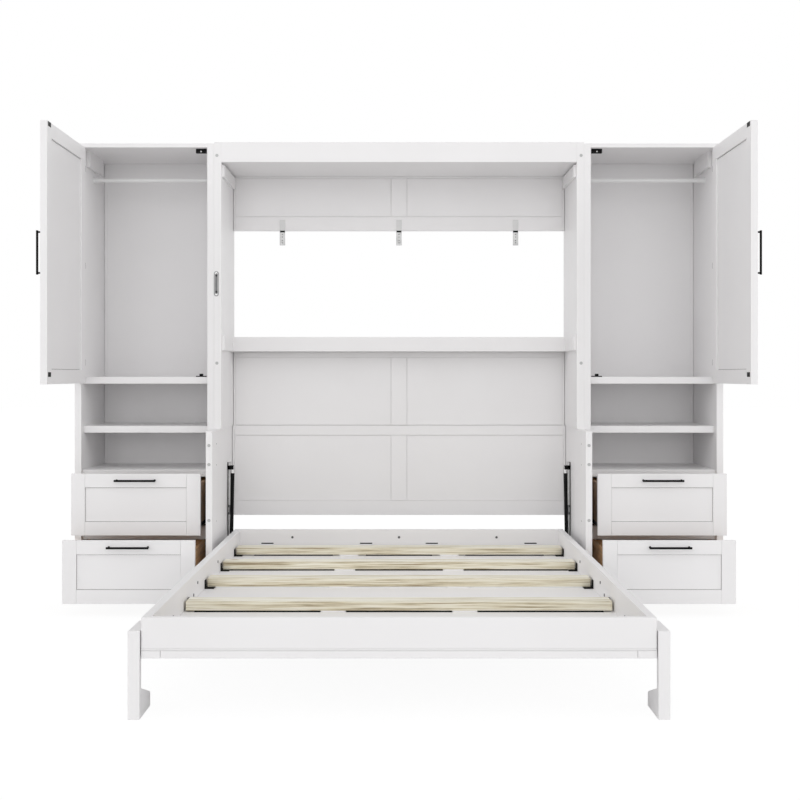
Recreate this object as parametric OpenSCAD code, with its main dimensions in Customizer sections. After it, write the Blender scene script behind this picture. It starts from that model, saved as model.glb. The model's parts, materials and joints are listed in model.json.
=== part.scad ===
// Wall bed between two side cabinets, shown with the bed let down.
// Origin: on the floor, at the wall, on the centre line. The front faces -Y.

/* [Bed platform] */
// Clear width between the bed rails
platform_inner_w = 1578; // [1540:1:1640]
// Clear length between the end boards
platform_inner_l = 2035; // [2000:1:2100]
// Thickness of the bed rails
rail_t = 28; // [22:1:34]
// Thickness of the head and foot boards
end_board_t = 25; // [20:1:30]
// Height of the rails above the base panel
rail_h = 100; // [80:1:115]
// Thickness of the base panel
base_t = 30; // [22:1:34]
// Height of the platform's underside over the floor
platform_z = 192; // [188:1:215]
// Number of slats
slat_count = 5; // [4:1:9]
// Width of a slat
slat_w = 80; // [60:1:100]
// Thickness of a slat
slat_t = 34; // [22:1:38]
// Gap between a slat's end and the rail
slat_end_gap = 8; // [4:1:12]
// Packer under each slat, and so the gap below it
packer_t = 5; // [3:1:8]
// Distance from the head board's inner face to the first slat
slat_head_gap = 105; // [60:1:130]
// Distance from the foot board's inner face to the last slat
slat_foot_gap = 127; // [80:1:150]
// Extra distance between the slats across the platform's middle
slat_step = 62; // [0:1:90]

/* [Bed pivot] */
// Height of the pivot over the platform's underside
pivot_rise = 70; // [60:1:80]
// Distance of the pivot in front of the cabinet's front plane
pivot_proud = 20; // [14:1:34]
// Distance from the pivot to the head end
head_reach = 243; // [232:1:244]
// Diameter of the pivot pins
pivot_d = 20; // [16:1:24]
// Gap beside the platform for struts, links and legs
side_gap = 41; // [38:1:50]

/* [Centre cabinet] */
// Depth of all cabinets
cab_depth = 440; // [420:1:520]
// Thickness of the upper side panels
upper_panel_t = 35; // [30:1:40]
// Thickness of the lower side boards
lower_board_t = 29; // [24:1:34]
// Height of the lower side boards
lower_board_h = 831; // [800:1:900]
// How far the lower side boards stand out in front
lower_board_proud = 230; // [200:1:260]
// Height of the rail over the opening
front_rail_h = 96; // [70:1:120]
// Thickness of the rail over the opening
front_rail_t = 22; // [18:1:30]
// Thickness of the top panel
top_t = 20; // [16:1:26]
// Gap between the rising bed and the rail over the opening
top_gap = 4.7; // [3:0.1:12]
// Distance of the back panels' faces from the wall
back_face = 39; // [34:1:50]
// Thickness of the back panels
back_t = 22; // [18:1:28]
// Height of the upper back panel
upper_back_h = 279; // [220:1:320]
// Height of the lower edge of the middle rail
mid_rail_z = 1209; // [1180:1:1240]
// Height of the middle rail
mid_rail_h = 73; // [60:1:90]
// Depth of the middle rail
mid_rail_depth = 137; // [110:1:160]
// Height of the lower back panel's lower edge
back_low_z = 370; // [345:1:420]
// Width of the centre stiles on the back panels
back_stile_w = 80; // [60:1:100]
// Height of the rail at the floor
floor_rail_h = 100; // [60:1:130]
// Radius of the wall fixing holes
wall_hole_r = 4; // [3:0.5:5]
// Spacing of the wall fixing holes
wall_hole_pitch = 400; // [300:10:450]

/* [Side cabinets] */
// Clear width inside a side cabinet
side_inner_w = 603; // [560:1:640]
// Thickness of the side cabinets' upright panels
side_panel_t = 32; // [28:1:36]
// Step down from the centre cabinet's top to the side cabinets' tops
side_drop = 6; // [2:1:20]
// Thickness of the side cabinets' tops
side_top_t = 20; // [16:1:26]
// Thickness of the side cabinets' back boards
side_back_t = 9; // [6:1:12]
// Thickness of the shelves
shelf_t = 33; // [26:1:38]
// Height of the plinth
plinth_h = 55; // [45:1:70]
// Clear height of the open space over the drawers
low_niche_h = 177; // [150:1:210]
// Clear height of the open space under the wardrobe
high_niche_h = 204; // [180:1:230]
// Distance of the open shelf's edge behind the front plane
shelf_recess = 47; // [30:1:60]
// Diameter of the hanging rods
rod_d = 20; // [16:1:25]
// Distance of the hanging rod under the cabinet's top board
rod_drop = 121; // [100:1:140]
// Distance of the hanging rod behind the front plane
rod_setback = 218; // [190:1:240]

/* [Doors] */
// Thickness of a door
door_t = 30; // [26:1:31]
// Gap around doors and drawer fronts
reveal = 2; // [1.5:0.1:3]
// Width of a door's frame
door_frame_w = 65; // [50:1:80]
// Depth of the panel recess in a door
door_recess = 8; // [4:1:9]
// Distance from a door's free edge to its handle
handle_inset = 40; // [30:1:50]
// Height of the middle of a door's handle
door_handle_z = 1617; // [1500:1:1700]

/* [Drawers] */
// Height of a drawer front
drawer_front_h = 286.5; // [270:0.5:300]
// Thickness of a drawer front
drawer_front_t = 20; // [18:1:24]
// Width of a drawer front's frame
drawer_frame_w = 64; // [50:1:75]
// Depth of the panel recess in a drawer front
drawer_recess = 6; // [3:1:8]
// How far the lower drawers stand open
lower_drawer_out = 323; // [0:1:340]
// How far the upper drawers stand open
upper_drawer_out = 180; // [0:1:340]
// Height of a drawer box
box_h = 200; // [150:1:205]
// Depth of a drawer box
box_depth = 380; // [340:1:390]
// Thickness of a drawer box's sides
box_t = 12; // [10:1:15]
// Height of a drawer box over its front's lower edge
box_rise = 39; // [36:1:50]
// Room for a runner beside a drawer box
runner_room = 13; // [12.5:0.5:15]

/* [Handles] */
// Length of a handle bar
handle_l = 190; // [150:1:230]
// Diameter of a handle bar
handle_d = 10; // [8:1:14]
// Distance of the bar's centre from the face
handle_standoff = 25; // [22:1:32]
// Distance between a handle's two posts
handle_post_pitch = 176; // [128:1:180]
// Distance of a drawer's handle from the front's upper edge
drawer_handle_drop = 31; // [24:1:50]

/* [Legs] */
// Gap between a leg and its rail, and between a leg and the lower side board's line
leg_gap = 3; // [2:1:5]
// Distance of the leg's front from the foot board's face
leg_proud = 8; // [4:1:14]
// Depth of the leg's head, beside the rail
leg_head_depth = 200; // [150:1:220]
// Depth of the upright
leg_upright_depth = 25; // [22:1:36]
// Depth of the foot
foot_depth = 158; // [130:1:160]
// Height of the foot at the upright
foot_high = 94; // [70:1:110]
// Height of the foot at its tip
foot_low = 44; // [30:1:54]
// Diameter of the leg pivots
leg_pin_d = 16; // [12:1:20]

/* [Desk] */
// Depth of the desk board
desk_depth = 440; // [380:1:500]
// Thickness of the desk board
desk_t = 22; // [18:1:22]
// Width of the desk board
desk_w = 1600; // [1500:1:1604]
// Distance from the bed's pivot to the desk's hinge, along the bed
desk_reach = 480; // [440:1:520]
// Offset of the levelling links from the bed's own line, each way
link_offset = 42; // [38:1:46]
// Width of a levelling link
link_w = 24; // [20:1:28]
// Thickness of a levelling link
link_t = 6; // [5:1:8]

/* [Gas struts] */
// Diameter of a strut's cylinder
strut_d = 18; // [16:1:20]
// Diameter of a strut's rod
strut_rod_d = 8; // [6:1:10]
// Distance of the strut's top pivot behind the front plane
strut_top_setback = 250; // [240:1:262]
// Height of the strut's top pivot
strut_top_z = 626; // [600:1:650]
// Distance from the bed's pivot to the strut's stud, along the bed
strut_reach = 225; // [215:1:228]

/* [Fits] */
// Radial clearance of a pin in its bore
pin_clear = 0.05; // [0.02:0.01:0.1]
// Gap between faces that slide past each other
slide_gap = 0.3; // [0.2:0.1:0.5]

/* [Hidden] */
$fn = 64;

// Colours
white_paint = [0.92, 0.92, 0.91];
pine = [0.87, 0.80, 0.66];
brown_ply = [0.42, 0.30, 0.20];
black_steel = [0.08, 0.08, 0.09];
grey_steel = [0.55, 0.56, 0.58];

// Main lines across the width
rail_in_x = platform_inner_w / 2;
rail_out_x = rail_in_x + rail_t;
lower_in_x = rail_out_x + side_gap;
centre_x = lower_in_x + lower_board_t;
upper_in_x = centre_x - upper_panel_t;
side_in_x = centre_x + side_panel_t;
side_far_x = side_in_x + side_inner_w;
side_out_x = side_far_x + side_panel_t;

// Main lines in depth: front is the plane of the cabinets' front edges
front = -cab_depth;
pivot_y = front - pivot_proud;
head_y = pivot_y + head_reach;
foot_reach = platform_inner_l + 2 * end_board_t - head_reach;
foot_y = pivot_y - foot_reach;
back_y = -back_face;

// Main heights
pivot_z = platform_z + pivot_rise;
base_top = platform_z + base_t;
rail_top = base_top + rail_h;
slat_z = base_top + packer_t;
sweep_r = sqrt(foot_reach * foot_reach + pivot_rise * pivot_rise);
ceiling_z = pivot_z + sweep_r + top_gap;
centre_top = ceiling_z + front_rail_h;
side_top = centre_top - side_drop;
side_ceiling = side_top - side_top_t;
deck_top = plinth_h + 3 * reveal + 2 * drawer_front_h;
shelf_top = deck_top + low_niche_h + shelf_t;
wardrobe_top = shelf_top + high_niche_h + shelf_t;
upper_back_z = ceiling_z - upper_back_h;
door_low = wardrobe_top - shelf_t + reveal;
door_high = side_ceiling - reveal;
lower_drawer_z = plinth_h + reveal;
upper_drawer_z = lower_drawer_z + drawer_front_h + reveal;
deck_recess = drawer_front_t + reveal;
wardrobe_recess = door_t + reveal;
drawer_z = [lower_drawer_z, upper_drawer_z];
drawer_out = [lower_drawer_out, upper_drawer_out];

// Door hinges: the knuckles lie in notches in the outer panels' front corners
hinge_x = side_far_x + 5;
hinge_y = front + 4.5;
knuckle_r = 4.2;
hinge_pin_r = 2;
hinge_l = 70;
hinge_end = 100;
hinge_z = [door_low + hinge_end, (door_low + door_high) / 2, door_high - hinge_end];
leaf_t = 1.5;
notch = hinge_x - side_far_x + knuckle_r + slide_gap + leaf_t;

// Drawer runners: sheet thickness and roller diameter
runner_t = 1.5;
roller_d = 14;

// Strut: at rest it hangs from its top pivot, leaning forward to the stud on the rail
channel_t = 14;
strut_x = lower_in_x - channel_t - strut_d / 2 - 2;
strut_top_y = front + strut_top_setback;
stud_y = pivot_y + strut_reach;
strut_l = norm([stud_y - strut_top_y, pivot_z - strut_top_z]);
strut_lean = atan2(strut_top_y - stud_y, strut_top_z - pivot_z);
strut_long = norm([pivot_y - strut_top_y, pivot_z - strut_reach - strut_top_z]);
strut_far_lean = atan2(strut_top_y - pivot_y, strut_top_z - pivot_z + strut_reach);
strut_stroke = strut_long - strut_l;
strut_wall = 1.5;
strut_eye_r = 9;
strut_neck = 28;
gland_l = 12;
piston_l = 8;
strut_tail = 13;
strut_cap = 12;
strut_stud_d = 8;
channel_w = 36;
channel_low = 286;
channel_high = strut_top_z + 28;

// Desk and its levelling links
desk_pin_y = pivot_y - desk_reach;
desk_pin_z = platform_z - desk_t / 2 - 3;
desk_edge_gap = 10;
desk_arm_t = 8;
desk_arm_l = 200;
desk_arm_x = desk_w / 2;
desk_pin_d = 10;
lug_t = 6;
lug_x = rail_out_x - lug_t;
link_x = rail_out_x + 9;
link_pin_d = 12;
link_stud_d = 10;
open_pivot_clear = 1;

// Legs
leg_in_x = rail_out_x + leg_gap;
leg_t = side_gap - leg_gap;
leg_front = foot_y - leg_proud;
leg_swing_gap = 2;
leg_top_z = pivot_z + pivot_proud - leg_swing_gap;
leg_turn_r = (leg_top_z - platform_z) / 2;
leg_pin_z = leg_top_z - leg_turn_r;
leg_pin_y = leg_front + leg_head_depth - leg_turn_r;

echo(pivot_y = pivot_y, pivot_z = pivot_z, ceiling_z = ceiling_z, centre_top = centre_top, side_out_x = side_out_x);
echo(hinge_x = hinge_x, hinge_y = hinge_y, leg_pin_y = leg_pin_y, leg_pin_z = leg_pin_z);
echo(desk_pin_y = desk_pin_y, desk_pin_z = desk_pin_z, link_y = pivot_y - link_offset, link_z = pivot_z - link_offset);
echo(strut_x = strut_x, strut_top_y = strut_top_y, strut_lean = strut_lean, strut_l = strut_l,
    strut_far_lean = strut_far_lean, strut_stroke = strut_stroke);

// A block between two corners
module block(low, high) {
    translate(low) cube(high - low);
}

// A round bar along X, from one X to another
module bar_x(x0, x1, y, z, d) {
    translate([x0, y, z]) rotate([0, 90, 0]) cylinder(d = d, h = x1 - x0);
}

// The left side is the right side mirrored
module on_side(side) {
    if (side > 0) children();
    else mirror([1, 0, 0]) children();
}

module on_both_sides() {
    for (side = [-1, 1]) on_side(side) children();
}

// A board facing -Y, with a raised frame and a centre stile around sunk fields
module framed_back(low, high, rail_low, rail_high) {
    stile = 12;
    field = 4;
    mid = (low.x + high.x) / 2;
    difference() {
        block(low, high);
        block([low.x + stile, low.y - 1, low.z + rail_low], [mid - back_stile_w / 2, low.y + field, high.z - rail_high]);
        block([mid + back_stile_w / 2, low.y - 1, low.z + rail_low], [high.x - stile, low.y + field, high.z - rail_high]);
    }
}

// ---- Centre cabinet ----
module upper_side_panel() {
    color(white_paint) block([upper_in_x, front, lower_board_h], [centre_x, 0, centre_top]);
}

module lower_side_board() {
    hole_z = [0.485, 0.803, 0.922] * lower_board_h;
    hole_setback = 103;
    hole_depth = 12;
    hole_d = 8;
    color(white_paint) difference() {
        block([lower_in_x, front - lower_board_proud, 0], [centre_x, 0, lower_board_h]);
        for (z = hole_z) bar_x(lower_in_x - 1, lower_in_x + hole_depth, front - hole_setback, z, hole_d);
    }
}

module top_panel() {
    color(white_paint) block([-upper_in_x, front + front_rail_t, ceiling_z], [upper_in_x, 0, ceiling_z + top_t]);
}

module top_front_rail() {
    color(white_paint) block([-upper_in_x, front, ceiling_z], [upper_in_x, front + front_rail_t, centre_top]);
}

module upper_back_panel() {
    low_rail = 72;
    high_rail = 8;
    color(white_paint) framed_back([-upper_in_x, back_y, upper_back_z],
        [upper_in_x, back_y + back_t, ceiling_z], low_rail, high_rail);
}

module middle_back_panel() {
    low_rail = 6;
    high_rail = 28;
    color(white_paint) framed_back([-upper_in_x, back_y, lower_board_h],
        [upper_in_x, back_y + back_t, mid_rail_z], low_rail, high_rail);
}

module lower_back_panel() {
    low_rail = 75;
    high_rail = 50;
    color(white_paint) framed_back([-lower_in_x, back_y, back_low_z],
        [lower_in_x, back_y + back_t, lower_board_h], low_rail, high_rail);
}

// Middle rail with the wall cleat behind it, the rail at the floor, and the side battens
module cross_rails() {
    fascia_t = 22;
    mid_top = mid_rail_z + mid_rail_h;
    batten_t = 12;
    batten_h = 56;
    batten_y = front + 25;
    color(white_paint) {
        difference() {
            union() {
                block([-upper_in_x, -mid_rail_depth, mid_rail_z], [upper_in_x, -mid_rail_depth + fascia_t, mid_top]);
                block([-upper_in_x, -mid_rail_depth, mid_top - top_t], [upper_in_x, 0, mid_top]);
                block([-upper_in_x, -back_t, mid_rail_z], [upper_in_x, 0, mid_top]);
            }
            for (i = [-1.5:1:1.5]) translate([i * wall_hole_pitch, 1, mid_rail_z + (mid_rail_h - top_t) / 2])
                rotate([90, 0, 0]) cylinder(r = wall_hole_r, h = back_t + 2);
        }
        block([-lower_in_x, -back_t, 0], [lower_in_x, 0, floor_rail_h]);
        on_both_sides() {
            block([upper_in_x - batten_t, batten_y, ceiling_z - 10 - batten_h], [upper_in_x, back_y, ceiling_z - 10]);
            block([upper_in_x - batten_t, batten_y, mid_rail_z], [upper_in_x, -mid_rail_depth, mid_top]);
        }
    }
}

// Sheet metal brackets on the upper back panel, reaching down past its lower edge
module panel_brackets() {
    bracket_w = 28;
    bracket_t = 3;
    bracket_pitch = 599;
    bracket_h = 131;
    overhang = 75;
    low_z = upper_back_z - overhang;
    color(grey_steel) for (i = [-1:1])
        block([i * bracket_pitch - bracket_w / 2, back_y - bracket_t, low_z],
            [i * bracket_pitch + bracket_w / 2, back_y, low_z + bracket_h]);
}

// A keeper with round ends on the left upper panel's front edge, with a groove between its two screws
module latch_plate() {
    plate_w = 24;
    plate_h = 120;
    plate_t = 2;
    plate_z = 1467;
    screw_d = 9;
    groove = [8, 52, 1.2];
    ends = [plate_z + plate_w / 2, plate_z + plate_h - plate_w / 2];
    mid_z = plate_z + plate_h / 2;
    x = -(centre_x - plate_w / 2);
    color(grey_steel) difference() {
        hull() for (z = ends) translate([x, front, z]) rotate([90, 0, 0]) cylinder(d = plate_w, h = plate_t);
        block([x - groove.x / 2, front - plate_t - 1, mid_z - groove.y / 2],
            [x + groove.x / 2, front - plate_t + groove.z, mid_z + groove.y / 2]);
    }
    color(grey_steel) for (z = ends)
        translate([x, front - plate_t, z]) rotate([90, 0, 0]) cylinder(d = screw_d, h = 1.2);
}

module fastener_caps() {
    cap_d = 15;
    cap_t = 1.5;
    board_mid = centre_x - lower_board_t / 2;
    lower_z = [0.508, 0.817, 0.922] * lower_board_h;
    upper_z = [mid_rail_z - mid_rail_h * 0.85, ceiling_z + front_rail_h / 3];
    color(white_paint) on_both_sides() {
        for (z = lower_z) translate([board_mid, front - lower_board_proud, z])
            rotate([90, 0, 0]) cylinder(d = cap_d, h = cap_t);
        for (z = upper_z) translate([board_mid, front, z])
            rotate([90, 0, 0]) cylinder(d = cap_d, h = cap_t);
    }
}

// Steel on the inner face of a lower side board: the bed's bearing, the link's stud and the strut's channel
module mechanism() {
    plate_t = 4;
    bearing_d = pivot_d + 20;
    bearing_l = 20;
    x = lower_in_x;
    link_y = pivot_y - link_offset;
    link_z = pivot_z - link_offset;
    channel_y = strut_top_y + 10;
    lip = 2;
    color(grey_steel) {
        difference() {
            union() {
                block([x - plate_t, link_y - 32, link_z - 32], [x, pivot_y + 42, pivot_z + 22]);
                bar_x(x - bearing_l, x, pivot_y, pivot_z, bearing_d);
                bar_x(link_x - 1, x, link_y, link_z, link_pin_d);
            }
            bar_x(x - bearing_l - 1, x + 1, pivot_y, pivot_z, pivot_d + 2 * pin_clear);
        }
        difference() {
            block([x - channel_t, channel_y - channel_w / 2, channel_low], [x, channel_y + channel_w / 2, channel_high]);
            block([x - channel_t - 1, channel_y - channel_w / 2 + lip, channel_low - 1],
                [x - lip, channel_y + channel_w / 2 - lip, strut_top_z - 20]);
        }
        bar_x(strut_x - strut_eye_r + 1, x - channel_t, strut_top_y, strut_top_z, strut_stud_d);
    }
}

// ---- Side cabinets ----
module outer_panel() {
    color(white_paint) difference() {
        block([side_far_x, front, 0], [side_out_x, 0, side_top]);
        for (z = hinge_z) block([side_far_x - 1, front - 1, z - hinge_l / 2 - 1],
            [side_far_x + notch, front + notch, z + hinge_l / 2 + 1]);
    }
}

module inner_panel() {
    color(white_paint) block([centre_x, front, 0], [side_in_x, 0, side_top]);
}

module side_tops() {
    cleat = [18, 252, 77];
    cleat_setback = 90;
    cleat_y = front + cleat_setback;
    color(white_paint) on_both_sides() {
        block([side_in_x, front, side_ceiling], [side_far_x, 0, side_top]);
        for (x = [side_in_x, side_far_x - cleat.x])
            block([x, cleat_y, side_ceiling - cleat.z], [x + cleat.x, cleat_y + cleat.y, side_ceiling]);
    }
}

module side_shelves() {
    color(white_paint) on_both_sides() {
        block([side_in_x, front + deck_recess, deck_top - shelf_t], [side_far_x, -side_back_t, deck_top]);
        block([side_in_x, front + shelf_recess, shelf_top - shelf_t], [side_far_x, -side_back_t, shelf_top]);
        block([side_in_x, front + wardrobe_recess, wardrobe_top - shelf_t], [side_far_x, -side_back_t, wardrobe_top]);
    }
}

module side_backs() {
    color(white_paint) on_both_sides()
        block([side_in_x, -side_back_t, 0], [side_far_x, 0, side_ceiling]);
}

// Plinths, and a cross rail over each lower drawer's box, behind the fronts
module plinths() {
    plinth_t = 18;
    rail_gap = 4;
    y = front + deck_recess;
    rail_low = lower_drawer_z + box_rise + box_h + rail_gap;
    rail_high = upper_drawer_z + box_rise - roller_d - 2 * runner_t - rail_gap;
    color(white_paint) on_both_sides() {
        block([side_in_x, y, 0], [side_far_x, y + plinth_t, plinth_h]);
        block([side_in_x, y, rail_low], [side_far_x, y + plinth_t, rail_high]);
    }
}

module hanging_rods() {
    socket_t = 6;
    z = side_ceiling - rod_drop;
    y = front + rod_setback;
    color(white_paint) on_both_sides() {
        bar_x(side_in_x, side_far_x, y, z, rod_d);
        for (x = [side_in_x, side_far_x - socket_t]) difference() {
            bar_x(x, x + socket_t, y, z, rod_d + 14);
            bar_x(x - 1, x + socket_t + 1, y, z, rod_d);
        }
    }
}

// Magnetic catches at the free edge of each door, under the top and on the wardrobe's floor
module door_catches() {
    catch = [50, 19, 15];
    top_catch_h = 20;
    foot_t = 5;
    nose_w = 16;
    y = front + door_t + 1 + slide_gap;
    x = side_in_x + 10;
    nose_x = x + (catch.x - nose_w) / 2;
    color(black_steel) on_both_sides() {
        block([x, y + 1, side_ceiling - top_catch_h], [x + catch.x, y + catch.y, side_ceiling]);
        block([x, y + 1, wardrobe_top], [x + catch.x, y + catch.y, wardrobe_top + foot_t]);
        block([nose_x, y + 1, wardrobe_top], [nose_x + nose_w, y + catch.y, wardrobe_top + catch.z]);
    }
}

// A hinge's fixed leaf, its two end knuckles and its pin
module hinge_leaves() {
    knuckle_l = 20;
    back = side_far_x + notch;
    color(grey_steel) on_both_sides() for (z = hinge_z) {
        for (low = [z - hinge_l / 2, z + hinge_l / 2 - knuckle_l]) {
            translate([hinge_x, hinge_y, low]) cylinder(r = knuckle_r, h = knuckle_l);
            block([hinge_x, hinge_y - leaf_t / 2, low], [back, hinge_y + leaf_t / 2, low + knuckle_l]);
        }
        translate([hinge_x, hinge_y, z - hinge_l / 2]) cylinder(r = hinge_pin_r, h = hinge_l);
        block([back - leaf_t, front, z - hinge_l / 2], [back, front + notch, z + hinge_l / 2]);
    }
}

// Fixed runners: an angle along each panel, with a roller near its front
module drawer_runners() {
    angle_w = runner_room + 8;
    back_gap = 31;
    run = [front + deck_recess + 2, -side_back_t - back_gap];
    color(black_steel) on_both_sides() for (z = drawer_z) {
        under = z + box_rise;
        low = under - roller_d - 2 * runner_t - slide_gap;
        for (flip = [0, 1]) translate([flip * (side_in_x + side_far_x), 0, 0]) mirror([flip, 0, 0]) {
            block([side_in_x, run[0], low], [side_in_x + runner_t, run[1], under + 12]);
            block([side_in_x, run[0], low], [side_in_x + angle_w, run[1], low + runner_t]);
            bar_x(side_in_x + runner_t, side_in_x + runner_room - runner_t - 1, run[0] + 14,
                low + runner_t + roller_d / 2, roller_d);
        }
    }
}

// ---- Doors, built shut and then swung open by 90 degrees ----
module swung_open() {
    translate([hinge_x, hinge_y, 0]) rotate([0, 0, 90]) translate([-hinge_x, -hinge_y, 0]) children();
}

module door() {
    low = [side_in_x + reveal, front, door_low];
    high = [side_far_x - reveal, front + door_t, door_high];
    frame = [door_frame_w, 0, door_frame_w];
    color(white_paint) swung_open() difference() {
        block(low, high);
        block(low + frame - [0, 1, 0], [high.x, low.y + door_recess, high.z] - frame);
        block([low.x, high.y - door_recess, low.z] + frame, high - frame + [0, 1, 0]);
    }
}

// A bar handle standing out to -Y, with its bar along X
module bar_handle() {
    post_d = handle_d - 2;
    bar_x(-handle_l / 2, handle_l / 2, -handle_standoff, 0, handle_d);
    for (x = [-1, 1]) translate([x * handle_post_pitch / 2, 0, 0])
        rotate([90, 0, 0]) cylinder(d = post_d, h = handle_standoff);
}

// Handle, three moving hinge leaves with their middle knuckles, and the two strike plates
module door_fittings() {
    knuckle_l = 29;
    edge = side_far_x - reveal;
    strike = [40, 1, 20];
    strike_x = side_in_x + 15;
    color(black_steel) swung_open() {
        translate([side_in_x + reveal + handle_inset, front, door_handle_z]) rotate([0, 90, 0]) bar_handle();
        for (z = hinge_z) difference() {
            union() {
                translate([hinge_x, hinge_y, z - knuckle_l / 2]) cylinder(r = knuckle_r, h = knuckle_l);
                block([edge, hinge_y - leaf_t / 2, z - knuckle_l / 2], [hinge_x - 2, hinge_y + leaf_t / 2, z + knuckle_l / 2]);
                block([edge, hinge_y - leaf_t / 2, z - knuckle_l / 2],
                    [edge + leaf_t, front + door_t, z + knuckle_l / 2]);
            }
            translate([hinge_x, hinge_y, z - hinge_l / 2]) cylinder(r = hinge_pin_r + pin_clear, h = hinge_l);
        }
        for (z = [door_high - strike.z - 1, wardrobe_top + 1])
            block([strike_x, front + door_t, z], [strike_x + strike.x, front + door_t + strike.y, z + strike.z]);
    }
}

// ---- Drawers: row 0 is the lower one, row 1 the upper one ----
module drawer_front(row) {
    y = front - drawer_out[row];
    low = [side_in_x + reveal, y, drawer_z[row]];
    high = [side_far_x - reveal, y + drawer_front_t, drawer_z[row] + drawer_front_h];
    frame = [drawer_frame_w, 0, drawer_frame_w];
    color(white_paint) difference() {
        block(low, high);
        block(low + frame - [0, 1, 0], [high.x, low.y + drawer_recess, high.z] - frame);
    }
}

module drawer_box(row) {
    y = front - drawer_out[row] + drawer_front_t;
    z = drawer_z[row] + box_rise;
    bottom_t = 6;
    low = [side_in_x + runner_room, y, z];
    high = [side_far_x - runner_room, y + box_depth, z + box_h];
    color(brown_ply) difference() {
        block(low, high);
        block(low + [box_t, box_t, bottom_t], high - [box_t, box_t, -1]);
    }
}

// Handle, and the moving angle under each side of the box with its roller at the back
module drawer_fittings(row) {
    y = front - drawer_out[row];
    under = drawer_z[row] + box_rise;
    mid_x = (side_in_x + side_far_x) / 2;
    color(black_steel) {
        translate([mid_x, y, drawer_z[row] + drawer_front_h - drawer_handle_drop]) bar_handle();
        for (flip = [0, 1]) translate([flip * (side_in_x + side_far_x), 0, 0]) mirror([flip, 0, 0]) {
            x = side_in_x + runner_room;
            tail = y + drawer_front_t + box_depth;
            block([x - 3 * runner_t, y + drawer_front_t, under - runner_t], [x + box_t, tail, under]);
            block([x - runner_t, y + drawer_front_t, under], [x, tail, under + 12]);
            bar_x(x, x + 5, tail - 8, under - runner_t - roller_d / 2, roller_d);
        }
    }
}

// ---- Bed ----
module bed_rail() {
    color(white_paint) block([rail_in_x, foot_y + end_board_t, base_top], [rail_out_x, head_y - end_board_t, rail_top]);
}

module head_board() {
    slot = [62, 6];
    slot_x = [-0.8, -0.2, 0.2, 0.8] * rail_out_x;
    slot_low = base_top + 29;
    color(white_paint) difference() {
        block([-rail_out_x, head_y - end_board_t, base_top], [rail_out_x, head_y, rail_top]);
        for (x = slot_x)
            block([x - slot.x / 2, head_y - end_board_t - 1, slot_low],
                [x + slot.x / 2, head_y + 1, slot_low + slot.y]);
    }
}

module foot_board() {
    color(white_paint) block([-rail_out_x, foot_y, base_top], [rail_out_x, foot_y + end_board_t, rail_top]);
}

// The base panel's underside is the bed's face when it is up, so it has a frame round sunk fields
module base_panel() {
    border = 60;
    stile = 60;
    sunk = 5;
    columns = 3;
    rows = 3;
    field_w = (2 * rail_out_x - 2 * border - (columns - 1) * stile) / columns;
    field_l = (head_y - foot_y - 2 * border - (rows - 1) * stile) / rows;
    color(white_paint) difference() {
        block([-rail_out_x, foot_y, platform_z], [rail_out_x, head_y, base_top]);
        for (i = [0:columns - 1], j = [0:rows - 1])
            translate([-rail_out_x + border + i * (field_w + stile), foot_y + border + j * (field_l + stile), platform_z - 1])
                cube([field_w, field_l, sunk + 1]);
    }
}

// The slats' front edges, from the head to the foot
slat_first = head_y - end_board_t - slat_head_gap - slat_w;
slat_last = foot_y + end_board_t + slat_foot_gap;
slat_pitch = (slat_first - slat_last - slat_step) / (slat_count - 1);
slat_y = [for (i = [0:slat_count - 1]) slat_first - i * slat_pitch - (i < slat_count / 2 ? 0 : slat_step)];
slat_end_x = rail_in_x - slat_end_gap;

module slats() {
    color(pine) for (y = slat_y) block([-slat_end_x, y, slat_z], [slat_end_x, y + slat_w, slat_z + slat_t]);
}

// Packers under the slats, and steel angles whose feet carry the slats' ends. The angles stand on the
// foot side of the first slats and on the head side of the others.
module slat_fittings() {
    packer_x = 241;
    packer_w = 90;
    angle_t = 4;
    angle_w = 38;
    angle_h = 35;
    angle_out = 24;
    seat = 30;
    color(grey_steel) on_both_sides() for (i = [0:slat_count - 1]) {
        y = slat_y[i];
        foot_side = i < slat_count - 2;
        y0 = foot_side ? y - angle_out : y + slat_w - seat;
        y1 = foot_side ? y - angle_out : y + slat_w;
        block([packer_x - packer_w / 2, y, base_top], [packer_x + packer_w / 2, y + slat_w, slat_z]);
        block([rail_in_x - angle_w, y0, base_top], [rail_in_x, y0 + angle_out + seat, slat_z]);
        block([rail_in_x - angle_t, y1, base_top], [rail_in_x, y1 + angle_out, base_top + angle_h]);
    }
}

// Steel on the rails: pivot pins, strut studs, leg pins and the desk's hinge lugs
module bed_pivots() {
    flange_d = 50;
    flange_t = 4;
    desk_pin_in = desk_arm_x + 1;
    color(grey_steel) on_both_sides() {
        bar_x(rail_out_x, rail_out_x + flange_t, pivot_y, pivot_z, flange_d);
        bar_x(rail_out_x, lower_in_x - 3, pivot_y, pivot_z, pivot_d);
        bar_x(rail_out_x, strut_x - strut_d / 2 - open_pivot_clear, stud_y, pivot_z, strut_stud_d + 4);
        bar_x(rail_out_x, lower_in_x - 3, leg_pin_y, leg_pin_z, leg_pin_d);
        block([lug_x, desk_pin_y - 14, desk_pin_z - 12], [rail_out_x, desk_pin_y + 14, platform_z]);
        bar_x(desk_pin_in, lug_x, desk_pin_y, desk_pin_z, desk_pin_d);
    }
}

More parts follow.
